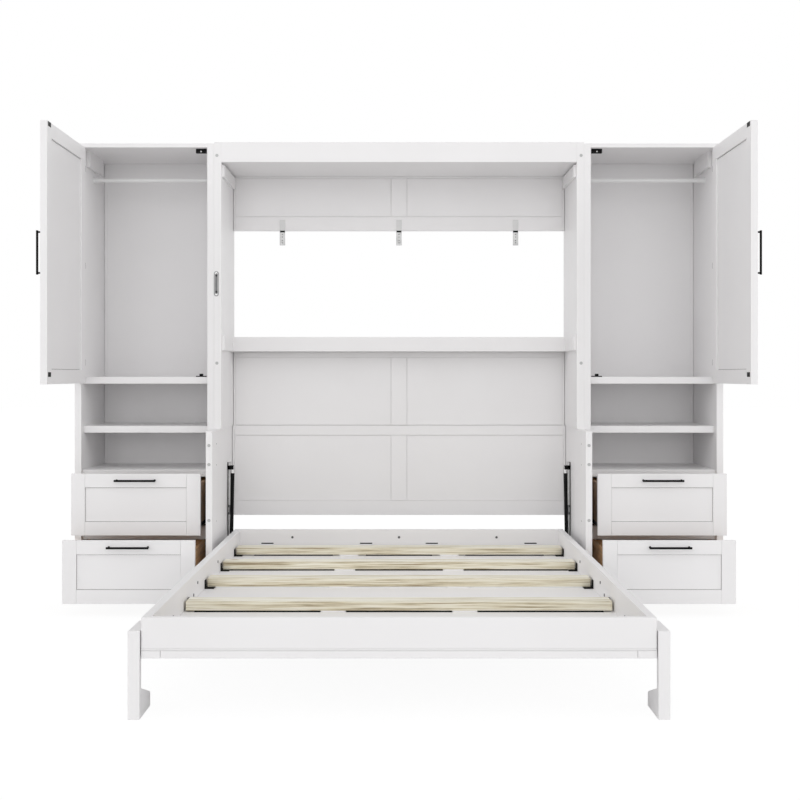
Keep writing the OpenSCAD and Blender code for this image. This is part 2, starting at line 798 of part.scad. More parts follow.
// ---- Legs: a head beside the rail, an upright and a foot that turns back under the bed. The head's
// back is round about the pin, so that it swings past the cabinet when the bed is up ----
module leg() {
    tip_r = 16;
    tip = leg_front + foot_depth - tip_r;
    outline = concat(
        [[leg_front, 0], [leg_front, leg_top_z]],
        [for (a = [90:-15:-90]) [leg_pin_y, leg_pin_z] + leg_turn_r * [cos(a), sin(a)]],
        [[leg_front + leg_upright_depth, platform_z], [leg_front + leg_upright_depth, foot_high]],
        [for (a = [70:-14:0]) [tip + tip_r * cos(a), foot_low - tip_r / 2 + tip_r * sin(a)]],
        [[leg_front + foot_depth, 0]]);
    color(white_paint) difference() {
        translate([leg_in_x, 0, 0]) rotate([90, 0, 90]) linear_extrude(height = leg_t) polygon(outline);
        bar_x(leg_in_x - 1, leg_in_x + leg_t + 1, leg_pin_y, leg_pin_z, leg_pin_d + 2 * pin_clear);
    }
}

// ---- Desk, stowed under the platform ----
module desk_board() {
    y1 = desk_pin_y - desk_edge_gap;
    color(white_paint) block([-desk_w / 2, y1 - desk_depth, desk_pin_z - desk_t / 2],
        [desk_w / 2, y1, desk_pin_z + desk_t / 2]);
}

// A straight flat bar with an eye of diameter w at each end, in the YZ plane, starting at one X
module link_bar(x0, t, y0, z0, y1, z1, w) {
    l = norm([y1 - y0, z1 - z0]);
    shank = w - 4;
    bar_x(x0, x0 + t, y0, z0, w);
    bar_x(x0, x0 + t, y1, z1, w);
    translate([x0, y0, z0]) rotate([atan2(z1 - z0, y1 - y0), 0, 0])
        translate([0, 0, -shank / 2]) cube([t, l, shank]);
}

// Flat steel arms on the desk's ends, each with a stud for its levelling link
module desk_arms() {
    r = desk_t / 2 - 1;
    o = link_offset;
    cut = 5;
    outline = [[r, -cut], [r, cut], [cut, r], [-desk_arm_l, r], [-desk_arm_l, -r], [-o - r - cut, -r],
        [-o - r, -o - cut], [-o - cut, -o - r], [-o + cut, -o - r], [-o + r, -o - cut], [cut, -r]];
    color(black_steel) on_both_sides() {
        difference() {
            translate([desk_arm_x, desk_pin_y, desk_pin_z]) rotate([90, 0, 90])
                linear_extrude(height = desk_arm_t) polygon(outline);
            bar_x(desk_arm_x - 1, desk_arm_x + desk_arm_t + 1, desk_pin_y, desk_pin_z, desk_pin_d + 2 * pin_clear);
        }
        bar_x(desk_arm_x + desk_arm_t, link_x + link_t + 2, desk_pin_y - o, desk_pin_z - o, link_stud_d);
    }
}

module level_links() {
    y0 = pivot_y - link_offset;
    z0 = pivot_z - link_offset;
    y1 = desk_pin_y - link_offset;
    z1 = desk_pin_z - link_offset;
    color(black_steel) on_both_sides() difference() {
        link_bar(link_x, link_t, y0, z0, y1, z1, link_w);
        bar_x(link_x - 1, link_x + link_t + 1, y0, z0, link_pin_d + 2 * pin_clear);
        bar_x(link_x - 1, link_x + link_t + 1, y1, z1, link_stud_d + 2 * open_pivot_clear);
    }
}

// ---- Gas struts, drawn down -Z from the top pivot and then leaned ----
module strut_frame() {
    translate([strut_x, strut_top_y, strut_top_z]) rotate([-strut_lean, 0, 0]) children();
}

module strut_rod() {
    piston_top = strut_l - strut_tail - strut_cap - 2 - piston_l;
    bore_d = strut_d - 2 * strut_wall;
    color(grey_steel) strut_frame() {
        difference() {
            union() {
                bar_x(-strut_eye_r + 1, strut_eye_r - 1, 0, 0, 2 * strut_eye_r);
                translate([0, 0, -piston_top]) cylinder(d = strut_rod_d, h = piston_top);
            }
            bar_x(-strut_eye_r, strut_eye_r, 0, 0, strut_stud_d + 2 * pin_clear);
        }
        translate([0, 0, -piston_top - piston_l]) cylinder(d = bore_d - 2 * pin_clear, h = piston_l);
    }
}

module strut_cylinder() {
    bore_d = strut_d - 2 * strut_wall;
    bottom = strut_l - strut_tail;
    color(black_steel) strut_frame() {
        difference() {
            translate([0, 0, -bottom]) cylinder(d = strut_d, h = bottom - strut_neck);
            translate([0, 0, -bottom + strut_cap]) cylinder(d = bore_d, h = bottom - strut_cap - strut_neck - gland_l);
            translate([0, 0, -bottom]) cylinder(d = strut_rod_d + 2 * pin_clear, h = bottom);
        }
        translate([0, 0, -bottom]) cylinder(d = strut_rod_d + 4, h = strut_cap);
        bar_x(-strut_d / 2, strut_d / 2, 0, -strut_l, 2 * strut_eye_r);
        translate([0, 0, -strut_l]) cylinder(d = strut_rod_d + 4, h = strut_tail);
    }
}

on_side(-1) upper_side_panel();  // upper_side_panel_left
on_side(1) upper_side_panel();  // upper_side_panel_right
on_side(-1) lower_side_board();  // lower_side_board_left
on_side(1) lower_side_board();  // lower_side_board_right
top_panel();
top_front_rail();
upper_back_panel();
middle_back_panel();
lower_back_panel();
cross_rails();
panel_brackets();
latch_plate();
fastener_caps();
on_side(-1) mechanism();  // mechanism_left
on_side(1) mechanism();  // mechanism_right
on_side(-1) outer_panel();  // outer_panel_left
on_side(1) outer_panel();  // outer_panel_right
on_side(-1) inner_panel();  // inner_panel_left
on_side(1) inner_panel();  // inner_panel_right
side_tops();
side_shelves();
side_backs();
plinths();
hanging_rods();
door_catches();
hinge_leaves();
drawer_runners();
on_side(-1) door();  // door_left
on_side(1) door();  // door_right
on_side(-1) door_fittings();  // door_fittings_left
on_side(1) door_fittings();  // door_fittings_right
on_side(-1) drawer_front(1);  // drawer_front_upper_left
on_side(1) drawer_front(1);  // drawer_front_upper_right
on_side(-1) drawer_front(0);  // drawer_front_lower_left
on_side(1) drawer_front(0);  // drawer_front_lower_right
on_side(-1) drawer_box(1);  // drawer_box_upper_left
on_side(1) drawer_box(1);  // drawer_box_upper_right
on_side(-1) drawer_box(0);  // drawer_box_lower_left
on_side(1) drawer_box(0);  // drawer_box_lower_right
on_side(-1) drawer_fittings(1);  // drawer_fittings_upper_left
on_side(1) drawer_fittings(1);  // drawer_fittings_upper_right
on_side(-1) drawer_fittings(0);  // drawer_fittings_lower_left
on_side(1) drawer_fittings(0);  // drawer_fittings_lower_right
on_side(-1) bed_rail();  // bed_rail_left
on_side(1) bed_rail();  // bed_rail_right
head_board();
foot_board();
base_panel();
slats();
slat_fittings();
bed_pivots();
on_side(-1) leg();  // leg_left
on_side(1) leg();  // leg_right
desk_board();
desk_arms();
level_links();
on_side(-1) strut_rod();  // strut_rod_left
on_side(1) strut_rod();  // strut_rod_right
on_side(-1) strut_cylinder();  // strut_cylinder_left
on_side(1) strut_cylinder();  // strut_cylinder_right
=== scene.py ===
import bpy
import json
import math
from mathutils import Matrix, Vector


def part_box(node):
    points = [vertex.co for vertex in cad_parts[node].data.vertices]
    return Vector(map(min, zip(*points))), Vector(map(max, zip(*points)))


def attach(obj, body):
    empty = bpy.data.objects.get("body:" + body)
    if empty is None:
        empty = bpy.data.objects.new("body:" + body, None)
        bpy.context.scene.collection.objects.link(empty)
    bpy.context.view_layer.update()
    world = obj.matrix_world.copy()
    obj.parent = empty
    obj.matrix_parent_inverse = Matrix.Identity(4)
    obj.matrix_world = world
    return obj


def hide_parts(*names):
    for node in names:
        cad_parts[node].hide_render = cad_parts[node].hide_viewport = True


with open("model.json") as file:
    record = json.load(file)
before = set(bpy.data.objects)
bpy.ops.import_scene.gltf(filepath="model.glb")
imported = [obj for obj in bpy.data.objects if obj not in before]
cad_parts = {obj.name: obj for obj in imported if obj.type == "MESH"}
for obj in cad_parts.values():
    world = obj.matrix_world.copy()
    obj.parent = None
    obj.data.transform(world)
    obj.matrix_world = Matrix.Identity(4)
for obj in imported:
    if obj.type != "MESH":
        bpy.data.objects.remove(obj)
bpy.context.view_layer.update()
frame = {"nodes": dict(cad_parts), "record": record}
body_of = {node: body for body, nodes in frame["record"]["behaviour"]["bodies"].items() for node in nodes}

# ---------------------------------------------------------------------------
# Painted boards: the cabinets' panels, shelves, rails and backs are white lacquered boards, sawn
# square, their edges eased by a light sanding before they are sprayed. They are glued and screwed.
# ---------------------------------------------------------------------------
sharp_from = math.radians(40)
smooth_up_to = math.radians(35)
flat_within = math.radians(1)
merge_within = 0.00001


def pick(piece):
    """Only this piece is selected and active."""
    bpy.ops.object.select_all(action="DESELECT")
    piece.select_set(True)
    bpy.context.view_layer.objects.active = piece


def ease_edges(piece, width, segments=2):
    """Every sharp edge gets a small round, and the flat faces stay flat in the light."""
    pick(piece)
    round_over = piece.modifiers.new("round_over", "BEVEL")
    round_over.width = width
    round_over.segments = segments
    round_over.limit_method = "ANGLE"
    round_over.angle_limit = sharp_from
    bpy.ops.object.modifier_apply(modifier=round_over.name)
    bpy.ops.object.shade_smooth_by_angle(angle=smooth_up_to)
    flatten = piece.modifiers.new("flatten", "WEIGHTED_NORMAL")
    flatten.keep_sharp = True
    bpy.ops.object.modifier_apply(modifier=flatten.name)


def eased_copy(node, width, segments=2):
    """A node's own shape, its triangles merged into whole faces and its edges eased."""
    piece = bpy.data.objects.new(node + "_made", frame["nodes"][node].data.copy())
    bpy.context.scene.collection.objects.link(piece)
    pick(piece)
    bpy.ops.object.mode_set(mode="EDIT")
    bpy.ops.mesh.select_all(action="SELECT")
    bpy.ops.mesh.remove_doubles(threshold=merge_within)
    bpy.ops.mesh.dissolve_limited(angle_limit=flat_within)
    bpy.ops.object.mode_set(mode="OBJECT")
    ease_edges(piece, width, segments)
    return piece


def grey(level):
    """A neutral grey, for a colour or for a roughness."""
    return (level,) * 3


def new_finish(name):
    """An empty procedural material: its nodes, links, shader and object coordinates."""
    finish = bpy.data.materials.new(name)
    finish.use_nodes = True
    nodes = finish.node_tree.nodes
    links = finish.node_tree.links
    where = nodes.new("ShaderNodeTexCoord")
    return finish, nodes, links, nodes["Principled BSDF"], where.outputs["Object"]


def noise(nodes, links, where, scale, detail, rough=0.5):
    """A noise texture on stretched object coordinates. scale is one number for each axis."""
    stretch = nodes.new("ShaderNodeMapping")
    stretch.inputs["Scale"].default_value = scale
    links.new(where, stretch.inputs["Vector"])
    pattern = nodes.new("ShaderNodeTexNoise")
    pattern.inputs["Scale"].default_value = 1.0
    pattern.inputs["Detail"].default_value = detail
    pattern.inputs["Roughness"].default_value = rough
    links.new(stretch.outputs["Vector"], pattern.inputs["Vector"])
    return pattern.outputs["Fac"]


def ramp(nodes, links, value, stops):
    """A colour ramp from (place, colour) stops."""
    band = nodes.new("ShaderNodeValToRGB")
    while len(band.color_ramp.elements) < len(stops):
        band.color_ramp.elements.new(0.5)
    for element, (place, colour) in zip(band.color_ramp.elements, stops):
        element.position = place
        element.color = (*colour, 1.0)
    links.new(value, band.inputs["Fac"])
    return band.outputs["Color"]


def roughen(nodes, links, shader, value, glossiest, dullest):
    """The shader's roughness follows the value between two levels."""
    levels = ramp(nodes, links, value, [(0.3, grey(glossiest)), (0.7, grey(dullest))])
    links.new(levels, shader.inputs["Roughness"])


def bumps(nodes, links, shader, height, strength, distance, under=None):
    """A bump map into the shader, over another one where there is one."""
    bump = nodes.new("ShaderNodeBump")
    bump.inputs["Strength"].default_value = strength
    bump.inputs["Distance"].default_value = distance
    links.new(height, bump.inputs["Height"])
    if under:
        links.new(under, bump.inputs["Normal"])
    links.new(bump.outputs["Normal"], shader.inputs["Normal"])
    return bump.outputs["Normal"]


def lacquer(name, light, dark, grain):
    """Satin lacquer: a cloudy tint, a sprayed stipple, and the wood's grain just showing along one axis."""
    finish, nodes, links, shader, where = new_finish(name)
    cloud = noise(nodes, links, where, scale=(1.7, 1.7, 1.7), detail=2.0)
    links.new(ramp(nodes, links, cloud, [(0.35, dark), (0.65, light)]), shader.inputs["Base Color"])
    gloss = noise(nodes, links, where, scale=(9, 9, 9), detail=3.0)
    roughen(nodes, links, shader, gloss, 0.40, 0.50)
    stipple = noise(nodes, links, where, scale=(420, 420, 420), detail=2.0)
    stippled = bumps(nodes, links, shader, stipple, strength=0.10, distance=0.0004)
    fibres = noise(nodes, links, where, scale=grain, detail=3.0)
    bumps(nodes, links, shader, fibres, strength=0.16, distance=0.0006, under=stippled)
    return finish


def finish_piece(piece, finish, slot, body, *nodes):
    """The piece gets its material, rides on its body and stands for these nodes. slot is not used."""
    piece.data.materials.clear()
    piece.data.materials.append(finish)
    if nodes:
        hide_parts(*nodes)
    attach(piece, body)


grain_up = (140, 140, 5)
grain_across = (5, 140, 140)
grain_deep = (140, 5, 140)
white = (0.853, 0.843, 0.848)
white_shade = (0.831, 0.820, 0.825)
upright_lacquer = lacquer("white_lacquer_upright", white, white_shade, grain_up)
level_lacquer = lacquer("white_lacquer_level", white, white_shade, grain_across)
deep_lacquer = lacquer("white_lacquer_deep", white, white_shade, grain_deep)

board_ease = 0.0012
upright_boards = [
    "upper_side_panel_left", "upper_side_panel_right", "lower_side_board_left", "lower_side_board_right",
    "outer_panel_left", "outer_panel_right", "inner_panel_left", "inner_panel_right", "side_backs",
]
level_boards = [
    "top_panel", "top_front_rail", "cross_rails", "side_tops", "side_shelves", "plinths",
]
for node in upright_boards:
    finish_piece(eased_copy(node, board_ease), upright_lacquer, "white_paint", body_of[node], node)
for node in level_boards:
    finish_piece(eased_copy(node, board_ease), level_lacquer, "white_paint", body_of[node], node)

# ---------------------------------------------------------------------------
# Fastener caps: moulded discs pressed over the screws in the front edges of the uprights.
# Each stands a little proud of its board and has a rounded rim. Their grey is painted shade: the
# shade round each rim spread over the whole cap.
# ---------------------------------------------------------------------------
cap_grey_painted_shade = lacquer("cap_grey_painted_shade", grey(0.50), grey(0.46), (30, 30, 30))
caps = eased_copy("fastener_caps", 0.0009, segments=3)
finish_piece(caps, cap_grey_painted_shade, "white_paint", "cabinet", "fastener_caps")

# ---------------------------------------------------------------------------
# Wardrobe doors and drawer fronts: shaker frames of two stiles with two rails between them, and a
# sunk panel. They are sprayed white in parts and joined dry. The core at the bottom of the grooves
# between them is dark grey: painted shade in the grooves.
# ---------------------------------------------------------------------------
fine_ease = 0.0008
core_deep = 0.0025


def board(low, high, ease):
    """A board between two corners: a cube at its size and place, its edges eased."""
    low, high = Vector(low), Vector(high)
    bpy.ops.object.select_all(action="DESELECT")
    bpy.ops.mesh.primitive_cube_add(size=1, location=(low + high) / 2, scale=high - low)
    piece = bpy.context.active_object
    bpy.ops.object.transform_apply(location=True, rotation=True, scale=True)
    ease_edges(piece, ease)
    return piece


def joined(name, parts):
    """Several parts made one piece."""
    pick(parts[0])
    for part in parts:
        part.select_set(True)
    if len(parts) > 1:
        bpy.ops.object.join()
    piece = bpy.context.active_object
    piece.name = name
    return piece


def frame_and_panel(name, corners, axes, stile, rails, sunk, middle=0.0, edge_gap=0.0):
    """A frame round a sunk panel, over a core that closes the joints behind.

    axes are those of its width and thickness, and stile is the width of a side stile. rails are the
    heights of the lower and upper rail, and sunk is the panel's depth below each face. middle is the
    width of a middle stile, and edge_gap a shadow gap at both upright edges.
    """
    wide, thick = axes
    low, high = corners
    joint = 0.0004
    panel_gap = 0.0014
    core_inset = 0.0003 if edge_gap else 0.002

    def part(w0, w1, z0, z1, shrink, sink=(0, 0)):
        a, b = Vector(low), Vector(high)
        a[wide], b[wide] = w0 + shrink, w1 - shrink
        a.z, b.z = z0 + shrink, z1 - shrink
        a[thick] += sink[0]
        b[thick] -= sink[1]
        return board(a, b, fine_ease)

    w0, w1, z0, z1 = low[wide], high[wide], low.z, high.z
    in0, in1, sill, head = w0 + stile, w1 - stile, z0 + rails[0], z1 - rails[1]
    core_sink = tuple(depth + core_deep for depth in sunk)
    parts = [
        part(w0, w1, z0, z1, core_inset, core_sink),
        part(w0 + edge_gap, in0, z0, z1, 0),
        part(in1, w1 - edge_gap, z0, z1, 0),
        part(in0, in1, z0, sill, joint),
        part(in0, in1, head, z1, joint),
    ]
    centre = (w0 + w1) / 2
    if middle:
        parts.append(part(centre - middle / 2, centre + middle / 2, sill, head, joint))
        fields = [(in0, centre - middle / 2), (centre + middle / 2, in1)]
    else:
        fields = [(in0, in1)]
    for f0, f1 in fields:
        parts.append(part(f0, f1, sill, head, panel_gap, sunk))
    return joined(name, parts)


def framed_front(name, node, axes, frame_w, sunk, finish):
    """A door or drawer front in this finish. Its core, at the bottom of the grooves, is dark grey: painted
    shade.
    """
    low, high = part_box(node)
    front = frame_and_panel(name, (low, high), axes, frame_w, (frame_w, frame_w), sunk)
    finish_piece(front, finish, "white_paint", body_of[node], node)
    front.data.materials.append(painted_groove_shade)
    thick = axes[1]
    facing_out = 0.9
    core_from = core_deep - 0.0005
    # Core faces deep in the grooves take the dark grey: painted shade in the grooves.
    for face in front.data.polygons:
        deep_enough = (face.center[thick] - low[thick] > sunk[0] + core_from
                       and high[thick] - face.center[thick] > sunk[1] + core_from)
        if abs(face.normal[thick]) > facing_out and deep_enough:
            face.material_index = 1


# Dark grey for the core at the bottom of the grooves: painted shade in the grooves.
painted_groove_shade = lacquer("painted_groove_shade", (0.16, 0.15, 0.14), (0.12, 0.11, 0.10), grain_up)
door_frame_w = 0.065
door_sunk = 0.008
drawer_frame_w = 0.064
drawer_sunk = 0.006
sides = ("left", "right")
signed_sides = (("left", -1), ("right", 1))
rows = ("upper", "lower")
for side in sides:
    framed_front(f"wardrobe_door_{side}", f"door_{side}", (1, 0), door_frame_w, (door_sunk, door_sunk),
                 upright_lacquer)
    for row in rows:
        framed_front(f"drawer_face_{row}_{side}", f"drawer_front_{row}_{side}", (0, 1), drawer_frame_w,
                     (drawer_sunk, 0), level_lacquer)

# ---------------------------------------------------------------------------
# Back panels: three frames across the opening, each with a middle stile and two sunk panels. They
# are made like the doors, sprayed as a whole, and screwed to the uprights' rebates.
# ---------------------------------------------------------------------------
back_rails = {
    "upper_back_panel": (0.072, 0.008),
    "middle_back_panel": (0.0025, 0.028),
    "lower_back_panel": (0.075, 0.050),
}
back_middle_w = 0.080
back_sunk = 0.004
back_stile_w = 0.012
back_edge_gap = 0.003
for node, rails in back_rails.items():
    back = frame_and_panel(node + "_framed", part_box(node), (0, 1), back_stile_w, rails, (back_sunk, 0),
                           back_middle_w, back_edge_gap)
    finish_piece(back, level_lacquer, "white_paint", "cabinet", node)

# ---------------------------------------------------------------------------
# Corner beads: flat lacquered mouldings glued to the thin back of each side cabinet, close beside its
# outer panel, and cut to length between the top, the shelves and the deck.
# ---------------------------------------------------------------------------


def sided(sign, span_x, span_y, span_z, ease):
    """A board on one side of the middle. Its span along X is given as for the right side."""
    x0, x1 = sorted((sign * span_x[0], sign * span_x[1]))
    return board((x0, span_y[0], span_z[0]), (x1, span_y[1], span_z[1]), ease)


bead_w = 0.012
bead_t = 0.003
bead_gap = 0.003
side_back_t = 0.009
back_front_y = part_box("side_backs")[1].y - side_back_t
corner_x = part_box("outer_panel_right")[0].x
bead_x = (corner_x - bead_gap - bead_w, corner_x - bead_gap)
bead_y = (back_front_y - bead_t, back_front_y)
bead_runs_z = ((1.081, 2.180), (0.844, 1.048), (0.634, 0.811))
for side, sign in signed_sides:
    beads = [sided(sign, bead_x, bead_y, run, fine_ease) for run in bead_runs_z]
    finish_piece(joined(f"corner_beads_{side}", beads), upright_lacquer, "white_paint", "cabinet")

# ---------------------------------------------------------------------------
# Drawer boxes: four sides and a bottom of brown plywood under clear varnish. The grain runs from
# front to back, and the plies show as stripes along the upper edges of the left and right sides.
# ---------------------------------------------------------------------------


def blend(nodes, links, first, second, share, how="MIX"):
    """Two colours blended, with this share of the second."""
    mix = nodes.new("ShaderNodeMix")
    mix.data_type = "RGBA"
    mix.blend_type = how
    mix.inputs["Factor"].default_value = share
    links.new(first, mix.inputs["A"])
    links.new(second, mix.inputs["B"])
    return mix.outputs["Result"]


def ply(name, tone):
    """Brown plywood: streaks along Y, and thin dark and light plies through its thickness."""
    finish, nodes, links, shader, where = new_finish(name)
    streaks = noise(nodes, links, where, scale=(90, 4, 90), detail=4.0, rough=0.6)
    browns = [(0.30, (0.240, 0.140, 0.070)), (0.55, (0.390, 0.240, 0.122)), (0.75, (0.500, 0.325, 0.176))]
    face = ramp(nodes, links, streaks, [(place, tuple(tone * c for c in brown)) for place, brown in browns])
    layers = nodes.new("ShaderNodeTexWave")
    layers.wave_type = "BANDS"
    layers.bands_direction = "X"
    layers.inputs["Scale"].default_value = 160
    layers.inputs["Distortion"].default_value = 0.6
    links.new(where, layers.inputs["Vector"])
    plies = ramp(nodes, links, layers.outputs["Fac"], [(0.2, (0.07, 0.04, 0.02)), (0.8, (0.36, 0.24, 0.14))])
    links.new(blend(nodes, links, face, plies, share=0.16), shader.inputs["Base Color"])
    roughen(nodes, links, shader, streaks, 0.42, 0.56)
    bumps(nodes, links, shader, streaks, strength=0.25, distance=0.0006)
    return finish


# One plywood in two tones: the upper boxes' copy is painted darker as painted shade, the lower boxes' much
# lighter as painted light.
ply_painted_light_and_shade_by_row = {"upper": ply("brown_ply_upper_painted_shade", tone=0.80), "lower": ply("brown_ply_lower_painted_light", tone=1.80)}
box_side_t = 0.012
box_floor_t = 0.006
box_floor_ease = 0.0004
end_drop = 0.006
for side in sides:
    for row in rows:
        node = f"drawer_box_{row}_{side}"
        low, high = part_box(node)
        in_x0, in_x1 = low.x + box_side_t, high.x - box_side_t
        in_y0, in_y1 = low.y + box_side_t, high.y - box_side_t
        end_top = high.z - end_drop
        box_parts = [
            board(low, (in_x0, high.y, high.z), fine_ease),
            board((in_x1, low.y, low.z), high, fine_ease),
            board((in_x0, low.y, low.z), (in_x1, in_y0, end_top), fine_ease),
            board((in_x0, in_y1, low.z), (in_x1, high.y, end_top), fine_ease),
            board((in_x0, in_y0, low.z), (in_x1, in_y1, low.z + box_floor_t), box_floor_ease),
        ]
        ply_box = joined(f"ply_box_{row}_{side}", box_parts)
        finish_piece(ply_box, ply_painted_light_and_shade_by_row[row], "brown_ply", body_of[node], node)

# ---------------------------------------------------------------------------
# Black steel: bar handles with their posts, the moving hinge leaves, strike plates, drawer runners, the
# desk's arms and levelling links, and the magnetic catches. It is powder coated, satin black.
# ---------------------------------------------------------------------------


def powder_coat(name, colour, sheen_rough):
    """A fine orange peel over a nearly even colour."""
    finish, nodes, links, shader, where = new_finish(name)
    cloud = noise(nodes, links, where, scale=(14, 14, 14), detail=2.0)
    paler = tuple(c * 1.35 + 0.004 for c in colour)
    links.new(ramp(nodes, links, cloud, [(0.35, colour), (0.7, paler)]), shader.inputs["Base Color"])
    roughen(nodes, links, shader, cloud, sheen_rough - 0.05, sheen_rough + 0.08)
    peel = noise(nodes, links, where, scale=(900, 900, 900), detail=2.0)
    bumps(nodes, links, shader, peel, strength=0.15, distance=0.0003)
    shader.inputs["Specular IOR Level"].default_value = 0.07
    return finish


black_coat = powder_coat("satin_black", (0.003, 0.003, 0.0034), 0.40)
fitting_ease = 0.0004
black_nodes = {
    "door_catches": 0.0012, "drawer_runners": 0.0003, "desk_arms": 0.0008, "level_links": 0.0006,
    "door_fittings_left": fitting_ease, "door_fittings_right": fitting_ease,
    "drawer_fittings_upper_left": fitting_ease, "drawer_fittings_upper_right": fitting_ease,
    "drawer_fittings_lower_left": fitting_ease, "drawer_fittings_lower_right": fitting_ease,
}
for node, ease in black_nodes.items():
    finish_piece(eased_copy(node, ease), black_coat, "black_steel", body_of[node], node)

# ---------------------------------------------------------------------------
# Handle collars: thin turned steel rings under the two posts of every handle, black as the handle.
# The handle's screws draw them against the door or the drawer front.
# ---------------------------------------------------------------------------
to_front = (0, -1, 0)


def turned_part(place, radius, depth, direction, sink=0.0):
    """A turned disc or pin: a cylinder facing a direction, its rim eased and its face sunk if asked."""
    rim_w = radius * 0.45
    slope_w = radius * 0.1
    rim_ease = depth * 0.22
    facing_up = 0.9
    bpy.ops.object.select_all(action="DESELECT")
    bpy.ops.mesh.primitive_cylinder_add(vertices=32, radius=radius, depth=depth, location=place)
    piece = bpy.context.active_object
    if sink:
        bpy.context.tool_settings.mesh_select_mode = (False, False, True)
        for face in piece.data.polygons:
            face.select = face.normal.z > facing_up
        bpy.ops.object.mode_set(mode="EDIT")
        bpy.ops.mesh.inset(thickness=rim_w, depth=0)
        bpy.ops.mesh.inset(thickness=slope_w, depth=-sink)
        bpy.ops.object.mode_set(mode="OBJECT")
    piece.rotation_mode = "QUATERNION"
    piece.rotation_quaternion = Vector(direction).to_track_quat("Z", "Y")
    bpy.ops.object.transform_apply(location=True, rotation=True, scale=True)
    ease_edges(piece, rim_ease)
    return piece


post_reach = 0.176 / 2
collar_r = 0.0055
collar_t = 0.0015
door_handle_z = 1.617
handle_inset = 0.040
handle_drop = 0.031
for side, sign in signed_sides:
    low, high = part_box(f"door_{side}")
    collar_x = (low.x if sign < 0 else high.x) + sign * collar_t / 2
    collars = [
        turned_part((collar_x, low.y + handle_inset, door_handle_z + reach), collar_r, collar_t, (sign, 0, 0))
        for reach in (-post_reach, post_reach)
    ]
    finish_piece(joined(f"door_handle_collars_{side}", collars), black_coat, "black_steel", f"door_{side}")
    for row in rows:
        low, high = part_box(f"drawer_front_{row}_{side}")
        middle = (low.x + high.x) / 2
        collar_y = low.y - collar_t / 2
        collars = [
            turned_part((middle + reach, collar_y, high.z - handle_drop), collar_r, collar_t, to_front)
            for reach in (-post_reach, post_reach)
        ]
        finish_piece(joined(f"drawer_handle_collars_{row}_{side}", collars), black_coat, "black_steel",
                     f"drawer_{row}_{side}")

# ---------------------------------------------------------------------------
# Catch rollers: small white nylon discs in the faces of the upper magnetic catches, which hold off
# the closing door. They are snapped on their pins, and the hub is sunk.
# ---------------------------------------------------------------------------
catch_low, catch_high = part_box("door_catches")
roller_x = catch_high.x - 0.025
roller_y = catch_low.y - 0.0004
roller_z = catch_high.z - 0.013
roller_r = 0.0036
roller_t = 0.0016
roller_sink = 0.0006
rollers = [
    turned_part((sign * roller_x, roller_y, roller_z), roller_r, roller_t, to_front, roller_sink)
    for sign in (-1, 1)
]
roller_white = powder_coat("roller_white", grey(0.62), 0.4)
finish_piece(joined("catch_rollers", rollers), roller_white, "white_paint", "cabinet")

# ---------------------------------------------------------------------------
# Pin hole shade: black discs set a hair below flush into the small holes on the inner faces of
# the lower side boards, three to a board. Their black is painted shade in the holes.
# ---------------------------------------------------------------------------
hole_shade_r = 0.0039
hole_shade_l = 0.010
hole_shade_sink = 0.003
hole_shade_under = 0.0002
hole_shade_y = -0.543
hole_shade_shares = (0.485, 0.803, 0.922)
side_board_low, side_board_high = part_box("lower_side_board_right")
hole_shade_x = side_board_low.x + hole_shade_l / 2 + hole_shade_under
for side, sign in signed_sides:
    hole_shades = [
        turned_part((sign * hole_shade_x, hole_shade_y, share * side_board_high.z), hole_shade_r, hole_shade_l, (-sign, 0, 0),
                    hole_shade_sink)
        for share in hole_shade_shares
    ]
    finish_piece(joined(f"pin_hole_painted_shade_{side}", hole_shades), black_coat, "black_steel", "cabinet")

# ---------------------------------------------------------------------------
# Zinc-plated steel: the doors' hinge leaves and pins, the bed's pivots with the desk's lugs, the bed's
# bearings, and the strut channels, which are paler. Pressed sheet and turned bar, screwed on.
# ---------------------------------------------------------------------------


def plated(name, colour, rough, streak):
    """Plated steel: rolling streaks in its roughness and a slightly mottled colour."""
    finish, nodes, links, shader, where = new_finish(name)
    mottle = noise(nodes, links, where, scale=(40, 40, 40), detail=3.0)
    darker = tuple(c * 0.8 for c in colour)
    links.new(ramp(nodes, links, mottle, [(0.35, darker), (0.65, colour)]), shader.inputs["Base Color"])
    lines = noise(nodes, links, where, scale=streak, detail=2.0)
    roughen(nodes, links, shader, lines, rough - 0.07, rough + 0.1)
    bumps(nodes, links, shader, lines, strength=0.08, distance=0.0003)
    shader.inputs["Metallic"].default_value = 1.0
    return finish


rolled_up = (600, 600, 12)
turned_round = (20, 20, 900)
zinc = plated("zinc_plated", (0.36, 0.37, 0.38), 0.36, rolled_up)
dark_zinc = plated("dark_plated", (0.16, 0.16, 0.165), 0.42, rolled_up)
channel_zinc = plated("channel_plated", grey(0.60), 0.45, rolled_up)
zinc_nodes = {"hinge_leaves": 0.0003, "bed_pivots": 0.0008}
for node, ease in zinc_nodes.items():
    finish_piece(eased_copy(node, ease), zinc, "steel", body_of[node], node)

mechanism_ease = 0.0006
bearing_top_z = 0.285
for side in sides:
    node = f"mechanism_{side}"
    mechanism = eased_copy(node, mechanism_ease)
    finish_piece(mechanism, dark_zinc, "steel", body_of[node], node)
    mechanism.data.materials.append(channel_zinc)
    for face in mechanism.data.polygons:
        if face.center.z > bearing_top_z:
            face.material_index = 1
